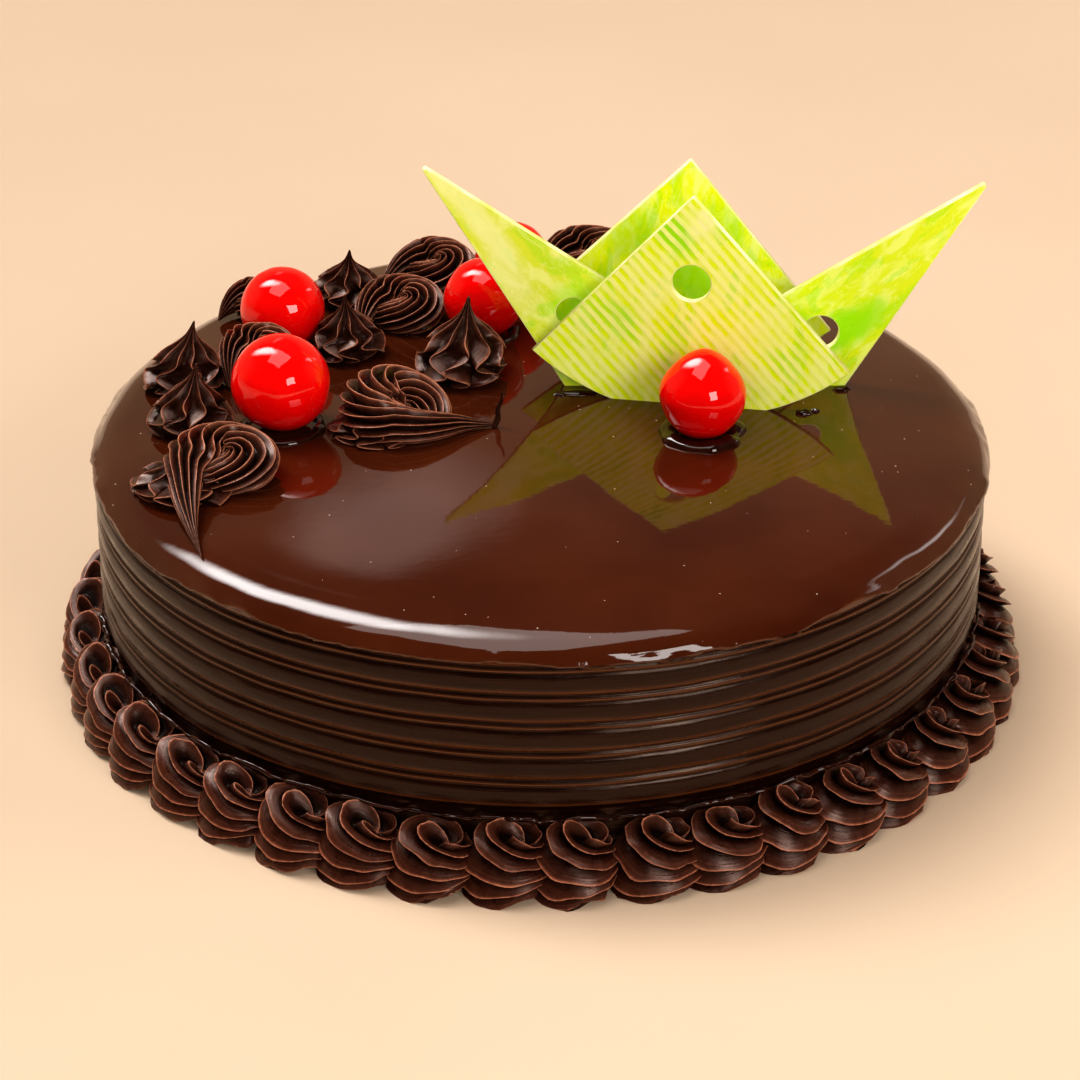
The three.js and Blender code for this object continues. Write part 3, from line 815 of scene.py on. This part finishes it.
def ring_mesh(centre, radius, width, height, seed):
    """A low wavy ring of glaze round a foot."""
    mesh = bmesh.new()
    turns = [math.pi * step / RING_ARC_STEPS for step in range(RING_ARC_STEPS + 1)]
    arc = [(radius + width * math.cos(turn), 0, height * math.sin(turn)) for turn in turns]
    section = [mesh.verts.new(spot) for spot in arc]
    edges = [mesh.edges.new(pair) for pair in zip(section, section[1:])]
    spin_round(mesh, section, edges, RING_TURN_STEPS)
    for vert in mesh.verts:
        turn = math.atan2(vert.co.y, vert.co.x)
        x, y = math.cos(turn), math.sin(turn)
        swell = 1 + 0.7 * ripple(x, y, 2, 0, seed)
        reach = radius + (math.hypot(vert.co.x, vert.co.y) - radius) * swell
        vert.co = Vector((centre.x + reach * x, centre.y + reach * y, CAKE_TOP + vert.co.z * swell))
    bmesh.ops.recalc_face_normals(mesh, faces=mesh.faces)
    return mesh


def lump_mesh(centre, half_size, seed):
    """A small rounded lump of glaze, lying on the top."""
    mesh = bmesh.new()
    bmesh.ops.create_icosphere(mesh, subdivisions=4, radius=1)
    for vert in mesh.verts:
        swell = 1 + 0.3 * noise.noise(vert.co * 1.1 + Vector((seed, 0, 0)))
        spot = Vector([along * half * swell * MM for along, half in zip(vert.co, half_size)])
        vert.co = Vector((centre[0] * MM, centre[1] * MM, CAKE_TOP)) + spot
        vert.co.z = max(CAKE_TOP - 0.1 * MM, vert.co.z)
    return mesh


BEAD_RADIUS = 0.5 * MM
BEAD_HEIGHT = 16.4 * MM
BEAD_SIDES = 8
BEAD_STEPS = 900
# How far out the bead's unit section is spun, before each ring goes to its place on the wall.
BEAD_SPUN_AT = 10


def bead_mesh():
    """The wet bead of glaze that ran down the side and stopped on top of the shells."""
    mesh = bmesh.new()
    turns = [math.tau * side / BEAD_SIDES for side in range(BEAD_SIDES)]
    section = [mesh.verts.new((math.cos(turn), 0, math.sin(turn))) for turn in turns]
    edges = [mesh.edges.new((section[side - 1], section[side])) for side in range(BEAD_SIDES)]
    bmesh.ops.translate(mesh, vec=(BEAD_SPUN_AT, 0, 0), verts=section)
    spin_round(mesh, section, edges, BEAD_STEPS)
    for vert in mesh.verts:
        turn = math.atan2(vert.co.y, vert.co.x)
        x, y = math.cos(turn), math.sin(turn)
        slow = ripple(x, y, 14, 60)
        quick = ripple(x, y, 45, 61)
        hump = abs(math.cos((turn + math.pi / 2) * SHELL_COUNT / 2 - math.pi / 2))
        thick = BEAD_RADIUS * max(0.35, 1 + 0.9 * slow + 0.6 * quick)
        middle = FOOT_RADIUS + (0.9 + 0.9 * hump + 0.5 * quick) * MM
        rise = BEAD_HEIGHT + (1.6 * hump ** 0.5 - 1.6 + 0.7 * slow + 0.3 * quick) * MM
        reach = middle + (math.hypot(vert.co.x, vert.co.y) - BEAD_SPUN_AT) * thick
        vert.co = Vector((reach * x, reach * y, rise + vert.co.z * thick))
    bmesh.ops.recalc_face_normals(mesh, faces=mesh.faces)
    return mesh


puddles = [bead_mesh()]
for node, seed, width in RINGS:
    low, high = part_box(node)
    radius = (high.x - low.x) / 2 * RING_PLACE
    puddles.append(ring_mesh((low + high) / 2, radius, width * MM, RING_RISE * width * MM, seed))
puddles += [lump_mesh(*shape) for shape in LUMPS]
puddle = make_piece("glaze_puddles", puddles, wet_glaze)
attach(puddle, "root")

# ---- Chocolate panels ------------------------------------
# Sheets of white chocolate coloured lime green and marbled, cut to a fan while soft, with a round hole
# punched in each, and stood upright in the glaze.

PANEL_THICKNESS = 1.8 * MM
PANEL_BEVEL = 0.25 * MM
TIP_ROUND = 0.6 * MM
TIP_STEPS = 8
ARC_STEPS = 60
HOLE_STEPS = 64
# An edge that turns more sharply than this, in radians, is a cut edge and is bevelled.
CUT_ANGLE = 1.2
# Millimetres on a panel to one unit of its UV map: x across, y up, 0 at the tip.
UV_UNIT = 100
# Node, apex, radius of the arc, whole angle, lean about Y, turn about Z, hole's depth and radius.
PANELS = [("panel_front", (34.3, 10, 109.4), 54.6, 84, 0, -10, (21.1, 4.45)),
          ("panel_back", (34.7, 34, 108.6), 54.6, 84, 4, 0, (21.1, 4.45)),
          ("shard_left", (-27.8, 20, 113.6), 68, 25, -43.5, 0, (51.2, 3.8)),
          ("shard_right", (102.0, 20, 109.5), 63.5, 27, 44.5, 0, (53.2, 4.2))]


def panel_mesh(radius, angle, hole):
    """A fan-shaped sheet with a rounded tip, an arc below and a hole. x across, z up, the tip at 0."""
    half = math.radians(angle) / 2
    mesh = bmesh.new()
    tip_centre = -TIP_ROUND / math.sin(half)
    rim = []
    for step in range(TIP_STEPS + 1):
        along = math.pi - half - (math.pi - 2 * half) * step / TIP_STEPS
        rim.append((TIP_ROUND * math.cos(along), tip_centre + TIP_ROUND * math.sin(along)))
    for step in range(ARC_STEPS + 1):
        along = half - 2 * half * step / ARC_STEPS
        rim.append((radius * MM * math.sin(along), -radius * MM * math.cos(along)))
    depth, hole_radius = hole
    turns = [math.tau * step / HOLE_STEPS for step in range(HOLE_STEPS)]
    punched = [(hole_radius * MM * math.cos(turn), (hole_radius * math.sin(turn) - depth) * MM)
               for turn in turns]
    edges = []
    for loop in (rim, punched):
        corners = [mesh.verts.new((x, -PANEL_THICKNESS / 2, z)) for x, z in loop]
        edges += [mesh.edges.new((corners[index - 1], corners[index])) for index in range(len(corners))]
    sheet = bmesh.ops.triangle_fill(mesh, use_beauty=True, edges=edges, normal=(0, -1, 0))["geom"]
    faces = [part for part in sheet if isinstance(part, bmesh.types.BMFace)]
    grown = bmesh.ops.extrude_face_region(mesh, geom=faces, use_keep_orig=True)["geom"]
    moved = [part for part in grown if isinstance(part, bmesh.types.BMVert)]
    bmesh.ops.translate(mesh, vec=(0, PANEL_THICKNESS, 0), verts=moved)
    bmesh.ops.recalc_face_normals(mesh, faces=mesh.faces)
    cut = [edge for edge in mesh.edges if len(edge.link_faces) == 2 and edge.calc_face_angle() > CUT_ANGLE
           and abs(edge.verts[0].co.y - edge.verts[1].co.y) < SAME_PLACE]
    bmesh.ops.bevel(mesh, geom=cut, offset=PANEL_BEVEL, affect="EDGES", segments=3, profile=0.5, material=-1)
    uv = mesh.loops.layers.uv.new("sheet")
    for face in mesh.faces:
        flat = abs(face.normal.y) > 0.999
        face.smooth = not flat
        face.material_index = 0 if flat else 1
        for loop in face.loops:
            loop[uv].uv = (loop.vert.co.x / MM / UV_UNIT, loop.vert.co.z / MM / UV_UNIT)
    return mesh


def patch(tree, place, centre, half_size, turn, seed):
    """A soft-edged ragged patch, 1 in the middle. Centre and half size are in mm on the panel."""
    local = mapped(tree, place, move=(-centre[0] / UV_UNIT, -centre[1] / UV_UNIT, 0))
    local = mapped(tree, local, turn=turn)
    local = mapped(tree, local, scale=(UV_UNIT / half_size[0], UV_UNIT / half_size[1], 1))
    ragged = noise_value(tree, mapped(tree, place, move=(seed, seed * 2, 0)), 22, detail=4)
    edge = math_node(tree, "MULTIPLY_ADD", ragged, 0.7, vector_math(tree, "LENGTH", local))
    return remap(tree, edge, 1.6, 0.8)


# Colours of the chocolate: the two greens, three milky tints marbled into them, and the cut edge. The darker
# green is also laid on the back panel as painted shade.
LIME = (0.76, 0.92, 0.001)
LEAF = (0.36, 0.80, 0.001)
CREAM = (0.90, 0.97, 0.30)
MILK = (0.93, 0.95, 0.38)
BLUSH = (0.94, 0.88, 0.32)
EDGE_CREAM = (0.92, 0.93, 0.50)


def panel_material(name, base, streak_turn, veins, patches, stripes):
    """Marbled chocolate: cloudy base, veins along a direction, patches of colour and cast stripes."""
    material, tree, shader = start_material(name, base, 0.32, ior=1.46)
    shader.inputs["Specular IOR Level"].default_value = 0.3
    sheet_map = tree.nodes.new("ShaderNodeUVMap")
    sheet_map.uv_map = "sheet"
    place = sheet_map.outputs["UV"]

    def streaked(stretch, move, scale, detail, distortion):
        """A noise pattern drawn out along the veins."""
        drawn = mapped(tree, place, turn=streak_turn, scale=(1, stretch, 1), move=move)
        return noise_value(tree, drawn, scale, detail=detail, distortion=distortion)

    clouds = streaked(0.45, (0, 0, 0), 24, 4, 0.6)
    color = blend_color(tree, remap(tree, clouds, 0.47, 0.60, 0.0, veins), base, CREAM)
    drift = streaked(0.4, (3, 1, 0), 18, 4, 0.8)
    color = blend_color(tree, remap(tree, drift, 0.53, 0.62, 0.0, 0.4), color, LEAF)
    feather = math_node(tree, "SUBTRACT", streaked(0.35, (1, 5, 0), 30, 3, 1.2), 0.5)
    feather = math_node(tree, "ABSOLUTE", feather)
    color = blend_color(tree, remap(tree, feather, 0.045, 0.0, 0.0, 0.5 * veins), color, CREAM)
    for seed, (tint, centre, half_size, turn, amount) in enumerate(patches):
        mask = math_node(tree, "MULTIPLY", patch(tree, place, centre, half_size, turn, seed + 1.0), amount)
        color = blend_color(tree, mask, color, tint)
    lines = None
    if stripes:
        direction, pitch, amount = stripes
        along = vector_math(tree, "DOT_PRODUCT", place, (*direction, 0))
        wobble = math_node(tree, "MULTIPLY", noise_value(tree, place, 12, detail=2), 0.5)
        wave = math_node(tree, "MULTIPLY_ADD", along, UV_UNIT / pitch, wobble)
        wave = math_node(tree, "PINGPONG", wave, 0.5)
        raised = remap(tree, wave, 0.16, 0.30)
        faint = noise_value(tree, mapped(tree, place, scale=(1, 0.6, 1), move=(7, 2, 0)), 14)
        faint = remap(tree, faint, 0.34, 0.60, 0.55, amount)
        color = blend_color(tree, math_node(tree, "MULTIPLY", raised, faint), color, CREAM)
        lines = bump(tree, shader, raised, 0.02 * MM)
    tree.links.new(color, shader.inputs["Base Color"])
    tree.links.new(remap(tree, clouds, 0.3, 0.7, 0.26, 0.42), shader.inputs["Roughness"])
    bump(tree, shader, noise_value(tree, place, 260), 0.02 * MM, lines)
    return material


panel_edge, tree, shader = start_material("cut_edge", EDGE_CREAM, 0.4)
tone = noise_value(tree, object_place(tree), 160)
tone = ramp(tree, tone, [(0.35, (0.72, 0.78, 0.16)), (0.6, EDGE_CREAM)])
tree.links.new(tone, shader.inputs["Base Color"])
bump(tree, shader, noise_value(tree, object_place(tree), 900), 0.04 * MM)

# Half the front panel's angle, because its stripes run alongside its right edge.
HALF_FAN = math.radians(42)
# Base colour, turn and strength of the veins, patches (tint, centre, half size, turn, amount), and stripes
# (the way across them, pitch in mm, amount).
PANEL_LOOKS = {
    "panel_front": (LIME, 0.75, 0.5, [
        (LEAF, (-4.5, -9), (8, 4), 0.85, 1.0), (MILK, (3.5, -5), (3, 7), 0.6, 1.0),
        (MILK, (-7, -24), (3, 9), 0.75, 0.40), (BLUSH, (9, -37), (3.0, 12), 0.75, 0.35),
        (LEAF, (-17, -31), (8, 4), 0.7, 0.55), (LEAF, (22, -40), (6, 3), 0.7, 0.4)],
        ((math.cos(HALF_FAN), math.sin(HALF_FAN)), 2.2, 0.95)),
    # The back panel's base is a lighter lime than the front's, as painted light that makes up for the shade
    # it stands in.
    "panel_back": ((0.86, 0.94, 0.010), -0.5, 0.7, [
        (LEAF, (-12, -19), (6, 8), 0.4, 0.35), (LEAF, (9, -16), (4, 8), -0.6, 0.35),
        # These two long darker green patches are painted shade, where the back panel is seen in shade
        # through the front panel's hole and the left shard's hole.
        (LEAF, (4, -31), (5.5, 16), -0.75, 0.8), (LEAF, (-23, -40), (5.5, 17), 0.85, 0.8)], None),
    "shard_left": ((0.74, 0.84, 0.05), 0.1, 0.7, [
        (MILK, (1, -16), (3.5, 20), 0.1, 0.7), (MILK, (-4, -34), (4, 12), 0.3, 0.5),
        (LEAF, (2, -50), (6, 6), 0.2, 0.5)], None),
    "shard_right": ((0.72, 0.86, 0.015), -0.1, 0.5, [
        (LEAF, (3.5, -48), (5, 12), 0.25, 0.95), (LEAF, (-4, -56), (5, 5), 0.1, 0.7)], None),
}
for node, apex, radius, angle, lean, yaw, hole in PANELS:
    mesh = panel_mesh(radius, angle, hole)
    mesh.transform(Matrix.Translation(Vector(apex) * MM) @ Matrix.Rotation(math.radians(yaw), 4, "Z")
                   @ Matrix.Rotation(math.radians(lean), 4, "Y"))
    chocolate = panel_material(node + "_chocolate", *PANEL_LOOKS[node])
    sheet = mesh_object(node + "_sheet", mesh, [chocolate, panel_edge])
    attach(sheet, "root")
    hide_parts(node)

# ---- Stage -----------------------------------------------
# A plain warm pale sheet of paper, which runs on out of the picture. Five soft boxes and a dim warm room
# with three soft windows light the cake. Three of the boxes are kept out of reflections.

floor_mesh = bmesh.new()
bmesh.ops.create_grid(floor_mesh, x_segments=1, y_segments=1, size=3)
paper, tree, shader = start_material("warm_paper", (0.57, 0.425, 0.30), 0.9)
tone = ramp(tree, noise_value(tree, object_place(tree), 5, detail=4),
            [(0.3, (0.552, 0.408, 0.286)), (0.7, (0.582, 0.437, 0.310))])
tree.links.new(tone, shader.inputs["Base Color"])
floor = mesh_object("floor", floor_mesh, [paper])

world = bpy.data.worlds.new("room")
bpy.context.scene.world = world
world.use_nodes = True
tree = world.node_tree
background = tree.nodes["Background"]
split = tree.nodes.new("ShaderNodeSeparateXYZ")
facing = tree.nodes.new("ShaderNodeTexCoord").outputs["Generated"]
tree.links.new(facing, split.inputs["Vector"])
# The room's colour by height above the horizon, and darker on the camera's side.
room = ramp(tree, split.outputs["Z"], [
    (0.0, (0.95, 0.66, 0.40)), (0.42, (0.95, 0.68, 0.44)), (0.52, (0.80, 0.58, 0.42)),
    (0.62, (0.50, 0.37, 0.29)), (0.72, (0.26, 0.20, 0.17)), (1.0, (0.32, 0.27, 0.24))])
room = blend_color(tree, remap(tree, split.outputs["Y"], 0.2, -0.35), room, (0.16, 0.11, 0.08))


def soft_window(toward, long_way, reach, color, room):
    """Lays a soft-edged oval of light over the room's colour. The reach is half its length and width."""
    middle = Vector(toward).normalized()
    along = (Vector(long_way) - middle * middle.dot(Vector(long_way))).normalized()
    ways = (middle, along / reach[0], middle.cross(along) / reach[1])
    ahead, along_off, wide_off = [vector_math(tree, "DOT_PRODUCT", facing, way) for way in ways]
    off = math_node(tree, "MULTIPLY", wide_off, wide_off)
    off = math_node(tree, "SQRT", math_node(tree, "MULTIPLY_ADD", along_off, along_off, off))
    in_front = math_node(tree, "GREATER_THAN", ahead, 0.0)
    share = math_node(tree, "MULTIPLY", remap(tree, off, 1.0, 0.3), in_front)
    return blend_color(tree, share, room, color)


room = soft_window((-0.115, 0.775, 0.62), (-0.4, -0.62, 0.7), (0.20, 0.10), (2.6, 2.1, 1.9), room)
room = soft_window((0.76, 0.42, 0.45), (-0.02, 0.43, -0.30), (0.34, 0.08), (9, 8.6, 8.4), room)
room = soft_window((-0.42, 0.30, 0.85), (0.45, -0.25, 0.33), (0.50, 0.23), (38, 37, 36.5), room)
tree.links.new(room, background.inputs["Color"])
background.inputs["Strength"].default_value = 0.42


def soft_box(name, direction, distance, size, power, shows=True):
    """A rectangular soft box that faces the cake from a direction. It may be kept out of reflections."""
    light = bpy.data.lights.new(name, "AREA")
    light.shape = "RECTANGLE"
    light.size, light.size_y = size
    light.energy = power
    light.color = (1, 0.97, 0.94)
    box = link_object(name, light)
    box.location = Vector(direction).normalized() * distance
    box.rotation_euler = Vector(direction).to_track_quat("Z", "Y").to_euler()
    box.visible_glossy = shows


soft_box("overhead", (-0.08, -0.10, 1.0), 1.3, (0.85, 0.85), 6)
soft_box("front_right", (0.52, -0.85, 0.52), 1.5, (0.60, 0.50), 8)
soft_box("fill_front", (-0.10, -1.0, 0.50), 2.0, (1.4, 0.9), 11, shows=False)
soft_box("fill_left", (-0.75, -0.55, 0.70), 1.8, (0.8, 0.8), 1.5, shows=False)
soft_box("fill_right", (0.90, -0.15, 0.45), 1.8, (0.8, 0.8), 8, shows=False)

bpy.context.scene.view_settings.view_transform = "Standard"
bpy.context.scene.view_settings.look = "Medium High Contrast"
